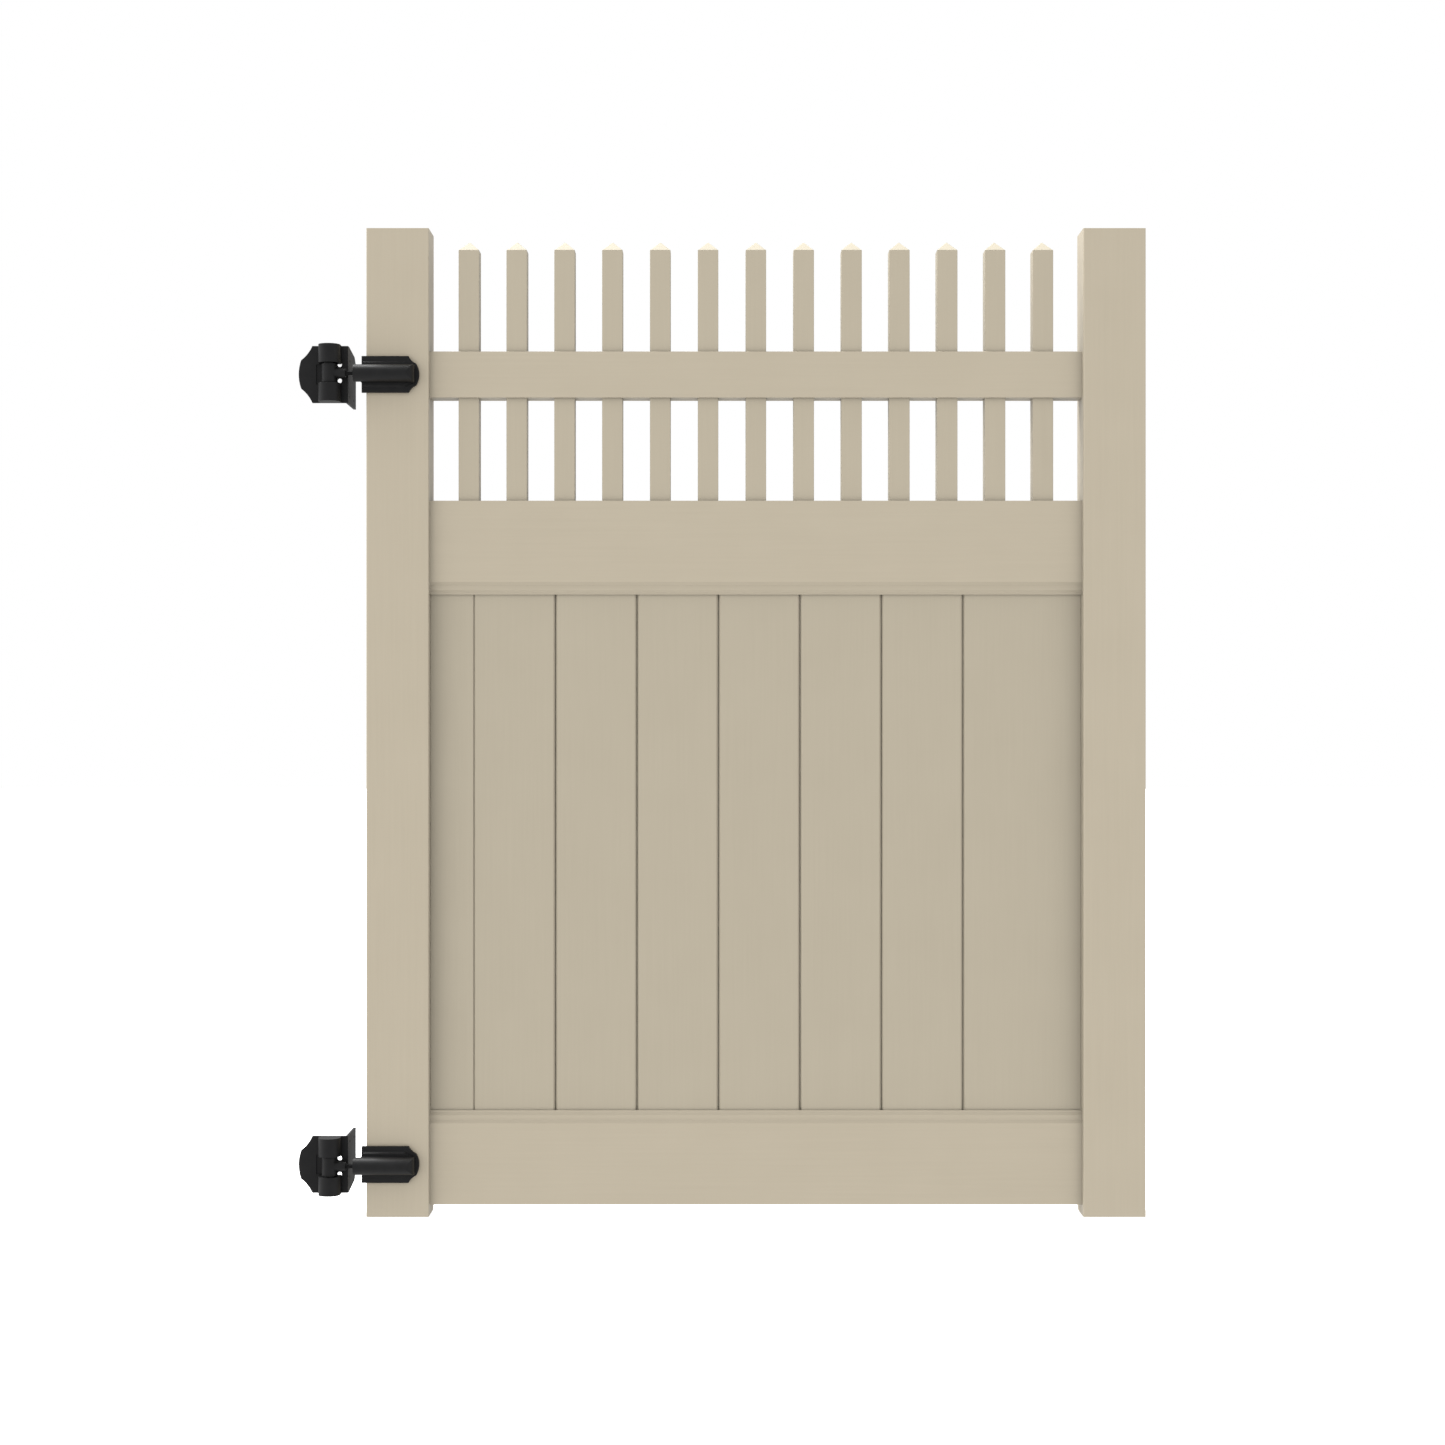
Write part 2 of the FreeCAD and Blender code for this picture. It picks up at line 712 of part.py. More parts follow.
def board(index, left, right, left_joint, right_joint):
    """One hollow board; each joint is its kind: square edge against an upright, first or plain."""
    bevels = {"first": "first_joint_bevel", "plain": "board_bevel"}
    gaps = {"edge": "fit_gap", "first": "first_joint_reveal / 2", "plain": "board_reveal / 2"}
    start = plus(left, gaps[left_joint])
    stop = less(right, gaps[right_joint])
    half = "board_thickness / 2"
    groove = "tongue_thickness / 2 + fit_gap"
    tongue = "tongue_thickness / 2"
    groove_end = plus(left, "tongue_length + fit_gap")
    tongue_end = plus(right, "tongue_length")

    def at(x, depth):
        return (x, plus(MIDDLE, depth))

    if right_joint == "edge":
        points = [at(stop, f"-{half}"), at(stop, half)]
    else:
        bevel = bevels[right_joint]
        points = [
            at(less(stop, bevel), f"-{half}"),
            at(stop, f"{bevel} - {half}"),
            at(stop, f"-{tongue}"),
            at(tongue_end, f"-{tongue}"),
            at(tongue_end, tongue),
            at(stop, tongue),
            at(stop, f"{half} - {bevel}"),
            at(less(stop, bevel), half),
        ]
    if left_joint == "edge":
        points += [at(start, half), at(start, f"-{half}")]
    else:
        bevel = bevels[left_joint]
        points += [
            at(plus(start, bevel), half),
            at(start, f"{half} - {bevel}"),
            at(start, groove),
            at(groove_end, groove),
            at(groove_end, f"-({groove})"),
            at(start, f"-({groove})"),
            at(start, f"{bevel} - {half}"),
            at(plus(start, bevel), f"-{half}"),
        ]

    body = new_body(f"board_{index}_body")
    sketch = new_sketch(body, f"board_{index}_section", "XY_Plane", BOARD_FOOT)
    add_loop(sketch, points)
    cells_from = plus(start if left_joint == "edge" else groove_end, "board_wall")
    cells_to = less(stop, "board_wall")
    cells = max(1, round(number(less(cells_to, cells_from)) / number("board_cell")))
    width = f"(({cells_to}) - ({cells_from}) - {cells - 1} * board_wall) / {cells}"
    for cell in range(cells):
        x = plus(cells_from, f"{cell} * ({width} + board_wall)")
        # the first and last cells keep clear of the beveled corners
        shy = "board_bevel" if cell in (0, cells - 1) else "board_wall"
        y = plus(MIDDLE, f"{shy} - {half}")
        add_loop(sketch, rectangle(x, y, width, f"board_thickness - 2 * {shy}"))
    pad(body, sketch, BOARD_LENGTH)
    node(f"board_{index}", body)


BOARD_FOOT = plus("bottom_rail_lift", "bottom_rail_height", "-board_seat")
BOARD_LENGTH = less("middle_rail_base + board_seat", BOARD_FOOT)


def boards():
    joints = [OPEN_LEFT, plus(OPEN_LEFT, "first_board_width")]
    for count in range(1, full_boards + 1):
        joints.append(plus(OPEN_LEFT, "first_board_width", f"{count} * board_pitch"))
    joints.append(OPEN_RIGHT)
    kinds = ["edge", "first"] + ["plain"] * full_boards + ["edge"]
    last = len(joints) - 1
    for index in range(last):
        board(index + 1, joints[index], joints[index + 1], kinds[index], kinds[index + 1])


# ---------------------------------------------------------------- pickets
def pickets():
    caps = []
    inner = "picket_size - 2 * picket_wall - fit_gap"
    for index, centre in enumerate(picket_centres, start=1):
        label = f"picket_{index:02d}"
        x = less(centre, "picket_size / 2")
        y = less(MIDDLE, "picket_size / 2")
        node(label, square_tube(label + "_tube", x, y, PICKET_FOOT, "picket_size", "picket_size",
                                less("picket_top", PICKET_FOOT), "picket_wall", "picket_corner"))
        point = doc.addObject("Part::Wedge", label + "_cap_point")
        point.Placement.Rotation = FreeCAD.Rotation(FreeCAD.Vector(1, 0, 0), 90)
        for size, text in (
            ("Xmin", "-picket_size / 2"), ("Xmax", "picket_size / 2"),
            ("Zmin", "-picket_size / 2"), ("Zmax", "picket_size / 2"),
            ("Ymin", "0"), ("Ymax", "cap_height"),
            ("X2min", "0"), ("X2max", "0"), ("Z2min", "0"), ("Z2max", "0"),
        ):
            point.setExpression(size, bind(text))
        place(point, centre, MIDDLE, "picket_top")
        plug = box(
            label + "_cap_plug",
            less(centre, f"({inner}) / 2"),
            less(MIDDLE, f"({inner}) / 2"),
            "picket_top - cap_plug",
            inner,
            inner,
            "cap_plug",
        )
        hollow = box(
            label + "_cap_hollow",
            less(centre, f"({inner}) / 2 - picket_wall"),
            less(MIDDLE, f"({inner}) / 2 - picket_wall"),
            "picket_top - cap_plug - 1",
            less(inner, "2 * picket_wall"),
            less(inner, "2 * picket_wall"),
            "cap_plug + 1 - picket_wall",
        )
        caps.append(cut(label + "_cap", join(label + "_cap_solid", [point, plug]), [hollow]))
    node("picket_caps", group("picket_cap_group", caps))


# ---------------------------------------------------------------- hinges
def hinge_node(label, piece):
    """Name the upper hinge's piece and its mirror image in the lower hinge."""
    node("upper_" + label, piece)
    twin = doc.addObject("Part::Mirroring", "lower_" + label + "_mirror")
    twin.Source = piece
    twin.Normal = (0, 0, 1)
    twin.setExpression("Base.z", bind("(upper_hinge_height + lower_hinge_height) / 2"))
    node("lower_" + label, twin)


def across(rise):
    """A height measured from the middle of the upper hinge, positive away from the other hinge."""
    return plus(HINGE_Z, rise)


def post_leaf():
    """Front plate with its ogee edge, side flange, and the two ends of the barrel round the window."""
    half = "leaf_height / 2"
    shoulder = "leaf_shoulder_height / 2"
    nose = "(leaf_width - leaf_shoulder)"
    nose_radius = f"(pow({shoulder}; 2) + pow({nose}; 2)) / (2 * {nose})"
    plate = new_body("post_leaf_plate")
    sketch = new_sketch(plate, "post_leaf_outline", "XZ_Plane", f"-({FRONT})")
    add_loop(
        sketch,
        [
            (FLANGE_X, across(f"-{half}")),
            (FLANGE_X, across(half)),
            (less(FLANGE_X, "leaf_top_width"), across(half)),
            (less(FLANGE_X, "leaf_shoulder"), across(shoulder)),
            (less(FLANGE_X, "leaf_shoulder"), across(f"-{shoulder}")),
            (less(FLANGE_X, "leaf_top_width"), across(f"-{half}")),
        ],
        {2: "0 - leaf_ogee_radius", 3: nose_radius, 4: "0 - leaf_ogee_radius"},
    )
    pad(plate, sketch, "leaf_thickness")
    flange = new_body("post_leaf_flange")
    side = new_sketch(flange, "post_leaf_flange_outline", "YZ_Plane", FLANGE_X)
    front_y = less(FRONT, "leaf_thickness")
    add_loop(
        side,
        [
            (front_y, across(f"-{half}")),
            (plus(FRONT, "flange_depth"), across(f"-{half}")),
            (plus(FRONT, "flange_depth"), across(f"{half} - flange_outer_drop")),
            (plus(FRONT, "flange_depth - flange_outer_step"), across(f"{half} - flange_inner_drop")),
            (plus(FRONT, "flange_inner_step"), across(half)),
            (front_y, across(half)),
        ],
    )
    pad(flange, side, "leaf_thickness", flip=True)
    column_depth = "barrel_reach - barrel_radius"
    column = join(
        "barrel_column",
        [
            cylinder("barrel_round", AXIS_X, AXIS_Y, across(f"-{half}"), "barrel_radius", "leaf_height"),
            box("barrel_back", less(AXIS_X, "barrel_radius"), AXIS_Y, across(f"-{half}"), "2 * barrel_radius",
                less(column_depth, "leaf_thickness / 2"), "leaf_height"),
        ],
    )
    window_low = across("-window_height / 2")
    window_x = less(AXIS_X, "window_width - barrel_radius")
    window = box("barrel_window", window_x, less(AXIS_Y, "barrel_radius + 1"), window_low, "window_width",
                 less("barrel_reach + 1", "leaf_thickness - window_recess"), "window_height")
    sight_holes = [
        cylinder(f"sight_hole_{end}", plus(AXIS_X, "sight_hole_side"), less(FRONT, "leaf_thickness + 1"),
                 across(rise), "sight_hole_radius", "leaf_thickness + 2", "y")
        for end, rise in (("outer", "sight_hole_outer"), ("inner", "0 - sight_hole_inner"))
    ]
    pocket_floor = "window_height / 2 + barrel_floor"
    spring_pocket = cylinder("spring_pocket", AXIS_X, AXIS_Y, across(pocket_floor),
                             "cap_radius + running_gap", less(f"{half} + 1", pocket_floor))
    pin_bore = cylinder("pin_bore", AXIS_X, AXIS_Y, PIN_FOOT, "pin_radius + running_gap",
                        less(across(half), PIN_FOOT))
    holes = []
    for row, up in enumerate((-1, 1), start=1):
        for column_index, along in enumerate((-1, 1), start=1):
            holes.append(
                cylinder(
                    f"flange_hole_{row}_{column_index}",
                    less(FLANGE_X, "leaf_thickness + 1"),
                    plus(FRONT, "flange_hole_offset", f"{along} * flange_hole_spacing / 2"),
                    across(f"{up} * flange_hole_rise / 2 - flange_hole_drop"),
                    "flange_hole_radius",
                    "leaf_thickness + 2",
                    "x",
                )
            )
    solid = join("post_leaf_solid", [plate, flange, column])
    tools = [window, spring_pocket, pin_bore] + sight_holes + holes
    hinge_node("post_leaf", cut("post_leaf_cut", solid, tools))


PIN_FOOT = across("barrel_floor - leaf_height / 2 + pin_seat")
PIN_TOP = across("leaf_height / 2 - tension_cap_height - pin_top_room")


def pin_and_spring():
    shank = cylinder("pin_shank", AXIS_X, AXIS_Y, PIN_FOOT, "pin_radius", less(PIN_TOP, PIN_FOOT))
    head = cylinder("pin_head", AXIS_X, AXIS_Y, less(PIN_TOP, "pin_head_height"), "pin_head_radius",
                    "pin_head_height")
    hinge_node("pin", join("pin_solid", [shank, head]))

    spring_foot = across("window_height / 2 + barrel_floor + spring_wire + fit_gap")
    spring_room = less(PIN_TOP, plus(spring_foot, "spring_wire"))
    helix = doc.addObject("Part::Helix", "spring_line")
    helix.setExpression("Radius", bind("spring_radius"))
    helix.setExpression("Pitch", bind("spring_pitch"))
    helix.setExpression("Height", bind(spring_room))
    place(helix, AXIS_X, AXIS_Y, spring_foot)
    wire = doc.addObject("Part::Circle", "spring_section")
    wire.Placement.Rotation = FreeCAD.Rotation(FreeCAD.Vector(1, 0, 0), 90)
    wire.setExpression("Radius", bind("spring_wire"))
    place(wire, plus(AXIS_X, "spring_radius"), AXIS_Y, spring_foot)
    coil = doc.addObject("Part::Sweep", "spring_coil")
    coil.Sections = [wire]
    coil.Spine = (helix, [])
    coil.Solid = True
    coil.Frenet = True
    hinge_node("spring", coil)


NOTCHES = 8


def tension_cap():
    """The cap that turns in the barrel's outer end, with a hexagon socket and lock notches in its rim."""
    foot = across("leaf_height / 2 - tension_cap_height")
    disc = cylinder("tension_disc", AXIS_X, AXIS_Y, foot, "cap_radius", "tension_cap_height")
    socket = hexagon("tension_socket", AXIS_X, AXIS_Y, across("leaf_height / 2 - socket_depth"),
                     "socket_radius", "socket_depth + 1")
    notches = []
    for index in range(NOTCHES):
        angle = index * 360 / NOTCHES
        notches.append(
            cylinder(
                f"tension_notch_{index}",
                plus(AXIS_X, f"(cap_radius - 2 * notch_radius) * cos({angle} deg)"),
                plus(AXIS_Y, f"(cap_radius - 2 * notch_radius) * sin({angle} deg)"),
                across("leaf_height / 2 - socket_depth / 2"),
                "notch_radius",
                "socket_depth",
            )
        )
    hinge_node("tension_cap", cut("tension_cap_cut", disc, [socket] + notches))


def knuckle():
    """The middle of the barrel, its bushes, and the arm with the bolt that sets the gap."""
    reach = "window_height / 2 - fit_gap - bush_flange"
    barrel = cylinder("knuckle_barrel", AXIS_X, AXIS_Y, across(f"-({reach})"), "knuckle_radius",
                      f"2 * ({reach})")
    arm = cone("knuckle_arm", AXIS_X, AXIS_Y, HINGE_Z, "arm_root_radius", "arm_end_radius", "arm_length", "x")
    bore = cylinder("knuckle_bore", AXIS_X, AXIS_Y, across(f"-({reach}) - 1"), "bush_radius + running_gap",
                    f"2 * ({reach}) + 2")
    bolt_x = plus(AXIS_X, "bolt_start")
    tapped = cylinder("arm_bore", bolt_x, AXIS_Y, HINGE_Z, "bolt_radius + screw_gap", "arm_length", "x")
    hinge_node("knuckle", cut("knuckle_cut", join("knuckle_solid", [barrel, arm]), [bore, tapped]))

    bushes = []
    for end, low, flange_low in (
        ("low", f"-({reach})", f"-({reach}) - bush_flange"),
        ("high", f"({reach}) - bush_length", reach),
    ):
        sleeve = cylinder(f"bush_{end}_sleeve", AXIS_X, AXIS_Y, across(low), "bush_radius", "bush_length")
        flange = cylinder(f"bush_{end}_flange", AXIS_X, AXIS_Y, across(flange_low), "bush_flange_radius",
                          "bush_flange")
        bore = cylinder(f"bush_{end}_bore", AXIS_X, AXIS_Y, across("-window_height"),
                        "pin_radius + running_gap", "2 * window_height")
        bushes.append(cut(f"bush_{end}", join(f"bush_{end}_solid", [sleeve, flange]), [bore]))
    hinge_node("knuckle_bushes", group("bush_pair", bushes))

    shank = cylinder("bolt_shank", bolt_x, AXIS_Y, HINGE_Z, "bolt_radius", "bolt_length", "x")
    collar = hexagon("bolt_collar", plus(AXIS_X, "arm_length"), AXIS_Y, HINGE_Z, "collar_size / sqrt(3)",
                     "collar_length", "x")
    hinge_node("adjusting_bolt", join("bolt_solid", [shank, collar]))


RIDGE_X = less(LEFT, "ridge_reach")
RIDGE_CENTRE = plus(LEFT, "ridge_end - ridge_radius")


LEFT_EDGE = less(LEFT, "strap_leg")


def ridge(name, radius, x, back):
    """The ridge's outer or inner form: round along X, its sides straight behind, its end rounded in plan."""
    sides = less(back, AXIS_Y)
    end = plus(RIDGE_CENTRE, radius)
    low = across(f"-({radius})")
    bar = join(
        name + "_bar",
        [
            cylinder(name + "_tube", x, AXIS_Y, HINGE_Z, radius, less(end, x), "x"),
            box(name + "_sides", LEFT_EDGE, AXIS_Y, low, less(end, LEFT_EDGE), sides, f"2 * ({radius})"),
        ],
    )
    plan = join(
        name + "_plan",
        [
            cylinder(name + "_end", RIDGE_CENTRE, AXIS_Y, low, radius, f"2 * ({radius})"),
            box(name + "_front", x, less(AXIS_Y, radius), low, less(RIDGE_CENTRE, x), plus(radius, sides),
                f"2 * ({radius})"),
            box(name + "_back", x, AXIS_Y, low, less(end, x), sides, f"2 * ({radius})"),
        ],
    )
    return common(name, [bar, plan])


def cover_outline(inset):
    """Corners and curved sides of the strap's outline, taken in by inset."""
    half = f"strap_height / 2 - ({inset})"
    shoulder_half = f"cover_shoulder_height / 2 - ({inset})"
    start = plus(LEFT_EDGE, inset)
    top = plus(LEFT, "cover_top_length", f"-({inset})")
    shoulder_x = plus(LEFT, "cover_shoulder", f"-({inset})")
    nose = "(cover_length - cover_shoulder)"
    nose_radius = f"(pow({shoulder_half}; 2) + pow({nose}; 2)) / (2 * {nose})"
    points = [
        (start, across(f"-({half})")),
        (top, across(f"-({half})")),
        (shoulder_x, across(f"-({shoulder_half})")),
        (shoulder_x, across(shoulder_half)),
        (top, across(half)),
        (start, across(half)),
    ]
    curves = {1: "0 - cover_ogee_radius", 2: nose_radius, 3: "0 - cover_ogee_radius"}
    return points, curves


def cover_plate(name, inset, thickness, from_face="0"):
    """A flat plate with the strap's outline, standing on the upright's front face."""
    body = new_body(name)
    sketch = new_sketch(body, name + "_outline", "XZ_Plane", plus(f"-({FRONT})", from_face))
    points, curves = cover_outline(inset)
    add_loop(sketch, points, curves)
    pad(body, sketch, thickness)
    return body


def step_outline():
    """The raised step's outline, drawn in from its shoulders to the ridge's width at its tip."""
    half = "cover_step_height / 2 + cover_step_bevel"
    start = plus(LEFT_EDGE, "cover_step_bevel")
    shoulder = plus(LEFT, "cover_step_shoulder")
    tip = plus(LEFT, "cover_step_tip")
    body = new_body("cover_step_form")
    sketch = new_sketch(body, "cover_step_outline", "XZ_Plane", f"-({FRONT})")
    add_loop(
        sketch,
        [
            (start, across(f"-({half})")),
            (shoulder, across(f"-({half})")),
            (tip, across("-ridge_radius")),
            (tip, across("ridge_radius")),
            (shoulder, across(half)),
            (start, across(half)),
        ],
    )
    pad(body, sketch, "cover_rim + cover_step + 1")
    return body


def strap_and_cover():
    step_half = "cover_step_height / 2"
    rim = cover_plate("cover_rim_plate", "0", "cover_rim")
    step = new_body("cover_step_block")
    section = new_sketch(step, "cover_step_section", "YZ_Plane", plus(LEFT_EDGE, "cover_step_bevel"))
    low = less(FRONT, "cover_rim")
    high = less(low, "cover_step")
    add_loop(
        section,
        [
            (low, across(f"-{step_half} - cover_step_bevel")),
            (low, across(f"{step_half} + cover_step_bevel")),
            (high, across(step_half)),
            (high, across(f"-{step_half}")),
        ],
    )
    pad(step, section, "cover_step_tip + strap_leg - cover_step_bevel")
    step = common("cover_step", [step, step_outline()])
    bar = ridge("ridge_outer", "ridge_radius", RIDGE_X, less(FRONT, "cover_rim / 2"))
    outer = join("cover_outer", [rim, step, bar])
    hollow_plate = cover_plate("cover_hollow_plate", "cover_wall", "cover_rim - cover_wall + 1", "0 - 1")
    hollow_step = box(
        "cover_hollow_step",
        plus(LEFT_EDGE, "cover_wall + cover_step_bevel"),
        less(FRONT, "cover_rim + cover_step - cover_wall"),
        across(f"cover_wall - {step_half}"),
        "cover_step_shoulder + strap_leg - cover_step_bevel - cover_wall",
        "cover_rim + cover_step - cover_wall",
        "cover_step_height - 2 * cover_wall",
    )
    hollow_ridge = ridge("ridge_inner", "ridge_radius - cover_wall", plus(RIDGE_X, "cover_wall"),
                         plus(FRONT, "1"))
    nose_hole = cylinder("cover_nose_hole", less(RIDGE_X, "1"), AXIS_Y, HINGE_Z,
                         "bolt_radius + nose_hole_room", "cover_wall + 2", "x")
    hollows = [hollow_plate, hollow_step, hollow_ridge, nose_hole]
    hinge_node("strap_cover", cut("strap_cover_cut", outer, hollows))

    plate = cover_plate("strap_front_plate", "cover_wall + fit_gap", "strap_plate")
    leg = box("strap_leg_block", LEFT_EDGE, FRONT, across("-strap_leg_height / 2"), "strap_leg",
              "strap_leg_depth", "strap_leg_height")
    boss_x = plus(RIDGE_X, "cover_wall + fit_gap")
    boss = cylinder("strap_boss", boss_x, AXIS_Y, HINGE_Z, "boss_radius", "boss_length", "x")
    web_x = plus(LEFT_EDGE, "cover_wall + 2 * fit_gap")
    web = box("strap_web", web_x, AXIS_Y, across("-boss_radius"), less(plus(boss_x, "boss_length"), web_x),
              less("barrel_reach - barrel_radius", "strap_plate / 2"), "2 * boss_radius")
    solid = join("strap_solid", [plate, leg, boss, web])
    bolt_room = cylinder("strap_bolt_room", less(boss_x, "1"), AXIS_Y, HINGE_Z,
                         "bolt_radius + running_gap * 2", "boss_length - boss_end", "x")
    tools = [bolt_room]
    screws = []
    for label, x, y, z, along in strap_screw_places("upper_hinge_height"):
        if along == "y":
            face = (x, less(FRONT, "strap_plate"), z)
        else:
            face = (LEFT_EDGE, y, z)
        tools += screw_hole(f"strap_{label}", *face, "strap_screw_length", along)
        screws.append(screw(f"strap_screw_{label}", x, y, z, "strap_screw_length", along))
    hinge_node("strap", cut("strap_cut", solid, tools))
    hinge_node("strap_screws", group("strap_screw_group", screws))


# ---------------------------------------------------------------- build, test and export
upright("hinge", LEFT, plus(LEFT, INSIDE))
upright("latch", less(RIGHT, "upright_width"), less(RIGHT, plus(INSIDE, "insert_width")))
top_rail()
middle_rail()
bottom_rail()
stiffener("middle_rail_stiffener", *MIDDLE_STIFFENER)
stiffener("bottom_rail_stiffener", *BOTTOM_STIFFENER)
rail_ends()
boards()
pickets()
post_leaf()
pin_and_spring()
tension_cap()
knuckle()
strap_and_cover()

doc.recompute()
faults = [f"{one.Label} is {one.State}" for one in doc.Objects if {"Invalid", "Error"} & set(one.State)]
for piece in nodes:
    if piece.Shape.isNull() or not piece.Shape.isValid() or not piece.Shape.Solids:
        faults.append(f"{piece.Label} has no valid shape")
if faults:
    raise RuntimeError("; ".join(faults))

os.makedirs("parts", exist_ok=True)
for piece in nodes:
    piece.Shape.exportStep(f"parts/{piece.Label}.step")
print(len(nodes), "sub-parts written")
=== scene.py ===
import json
import math

import bmesh
import bpy
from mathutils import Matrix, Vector

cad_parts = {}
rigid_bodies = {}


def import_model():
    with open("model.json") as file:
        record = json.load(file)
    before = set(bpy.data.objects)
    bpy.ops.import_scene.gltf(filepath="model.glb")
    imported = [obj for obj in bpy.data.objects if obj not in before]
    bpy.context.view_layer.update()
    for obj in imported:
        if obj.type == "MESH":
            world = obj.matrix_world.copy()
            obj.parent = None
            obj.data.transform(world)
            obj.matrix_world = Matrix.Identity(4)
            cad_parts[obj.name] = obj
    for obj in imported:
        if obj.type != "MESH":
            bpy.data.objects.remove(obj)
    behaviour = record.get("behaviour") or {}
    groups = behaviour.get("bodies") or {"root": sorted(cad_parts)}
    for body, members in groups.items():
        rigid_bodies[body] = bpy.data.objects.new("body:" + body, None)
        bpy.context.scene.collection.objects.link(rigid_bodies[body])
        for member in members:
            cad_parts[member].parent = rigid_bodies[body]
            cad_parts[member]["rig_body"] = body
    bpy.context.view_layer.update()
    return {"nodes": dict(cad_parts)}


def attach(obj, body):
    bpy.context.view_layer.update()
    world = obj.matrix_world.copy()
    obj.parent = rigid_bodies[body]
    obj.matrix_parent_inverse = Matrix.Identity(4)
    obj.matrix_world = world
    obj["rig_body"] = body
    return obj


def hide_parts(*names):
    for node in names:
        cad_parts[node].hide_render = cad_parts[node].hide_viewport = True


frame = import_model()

nodes = frame["nodes"]
scene = bpy.context.scene
mm = 0.001
opaque = 1.0
white = (1.0, 1.0, 1.0, opaque)


# small helpers for building a finish from nodes

def startMaterial(name):
    material = bpy.data.materials.new(name)
    material.use_nodes = True
    tree = material.node_tree
    place = tree.nodes.new("ShaderNodeTexCoord").outputs["Object"]
    return material, tree, tree.nodes["Principled BSDF"], place


def stretched(tree, place, scale):
    mapping = tree.nodes.new("ShaderNodeMapping")
    mapping.inputs["Scale"].default_value = scale
    tree.links.new(place, mapping.inputs["Vector"])
    return mapping.outputs["Vector"]


def noise(tree, place, scale, detail=3.0):
    made = tree.nodes.new("ShaderNodeTexNoise")
    made.inputs["Scale"].default_value = scale
    made.inputs["Detail"].default_value = detail
    tree.links.new(place, made.inputs["Vector"])
    return made.outputs["Fac"]


blend = dict(darkUpTo=0.30, lightFrom=0.70)  # where on the noise the two colours begin and end


def twoColours(tree, value, light, dark):
    made = tree.nodes.new("ShaderNodeValToRGB")
    first, last = made.color_ramp.elements
    first.position = blend["darkUpTo"]
    first.color = (*dark, opaque)
    last.position = blend["lightFrom"]
    last.color = (*light, opaque)
    tree.links.new(value, made.inputs["Fac"])
    return made.outputs["Color"]


def spread(tree, value, low, high):
    made = tree.nodes.new("ShaderNodeMapRange")
    made.inputs["To Min"].default_value = low
    made.inputs["To Max"].default_value = high
    tree.links.new(value, made.inputs["Value"])
    return made.outputs["Result"]


def arithmetic(tree, operation, *values):
    made = tree.nodes.new("ShaderNodeMath")
    made.operation = operation
    for socket, value in zip(made.inputs, values):
        if isinstance(value, float):
            socket.default_value = value
        else:
            tree.links.new(value, socket)
    return made.outputs[0]


def bump(tree, height, strength, distance):
    made = tree.nodes.new("ShaderNodeBump")
    made.inputs["Strength"].default_value = strength
    made.inputs["Distance"].default_value = distance
    tree.links.new(height, made.inputs["Height"])
    return made.outputs["Normal"]


# extruded vinyl: faint die lines along the profile, slow clouding, and a fine satin skin
extrusion = dict(lines=260.0, lineDetail=4.0, stretch=0.02, clouds=9.0, evenShare=0.5, skin=1400.0,
                 skinDetail=2.0, skinBump=0.10, skinDepth=0.2 * mm, roughSwing=0.06, gloss=0.42)
vinyls = {
    "uprightVinyl": dict(light=(0.584, 0.513, 0.391), dark=(0.559, 0.490, 0.371), rough=0.42, runs="up"),
    "railVinyl": dict(light=(0.584, 0.513, 0.391), dark=(0.559, 0.490, 0.371), rough=0.42, runs="across"),
    # the board and picket vinyl are a little darker than the frame vinyl: painted shade for the dimmer light
    # on the set-back boards and pickets
    "boardVinylPaintedShade": dict(light=(0.549, 0.487, 0.372), dark=(0.526, 0.465, 0.353), rough=0.46, runs="up"),
    "picketVinylPaintedShade": dict(light=(0.560, 0.494, 0.376), dark=(0.536, 0.472, 0.358), rough=0.44, runs="up"),
    "capVinyl": dict(light=(0.552, 0.500, 0.388), dark=(0.538, 0.486, 0.376), rough=0.55, runs="up"),
}


def makeVinyl(name, light, dark, rough, runs):
    material, tree, shader, place = startMaterial(name)
    thin = extrusion["stretch"]
    along = (1.0, 1.0, thin) if runs == "up" else (thin, 1.0, 1.0)
    lines = noise(tree, stretched(tree, place, along), extrusion["lines"], extrusion["lineDetail"])
    clouds = noise(tree, place, extrusion["clouds"])
    both = arithmetic(tree, "MULTIPLY", arithmetic(tree, "ADD", lines, clouds), extrusion["evenShare"])
    tree.links.new(twoColours(tree, both, light, dark), shader.inputs["Base Color"])
    swing = extrusion["roughSwing"]
    tree.links.new(spread(tree, lines, rough - swing, rough + swing), shader.inputs["Roughness"])
    skin = noise(tree, place, extrusion["skin"], extrusion["skinDetail"])
    normal = bump(tree, skin, extrusion["skinBump"], extrusion["skinDepth"])
    tree.links.new(normal, shader.inputs["Normal"])
    shader.inputs["Specular IOR Level"].default_value = extrusion["gloss"]
    return material


# black hinge parts: glass filled nylon with a spark eroded grit, and the coated bolt
moulding = dict(grit=1100.0, gritBump=0.22, gritDepth=0.2 * mm, clouds=60.0, smoother=0.05, rougher=0.07)
blacks = {
    "hingeNylon": dict(light=(0.0105, 0.0105, 0.0110), dark=(0.0065, 0.0065, 0.0070), rough=0.48, gloss=0.24),
    "capNylon": dict(light=(0.0110, 0.0110, 0.0115), dark=(0.0070, 0.0070, 0.0075), rough=0.46, gloss=0.20),
    "bushNylon": dict(light=(0.0120, 0.0120, 0.0125), dark=(0.0080, 0.0080, 0.0085), rough=0.38, gloss=0.25),
    "coatedSteel": dict(light=(0.009, 0.009, 0.0095), dark=(0.006, 0.006, 0.0065), rough=0.50, gloss=0.10),
}


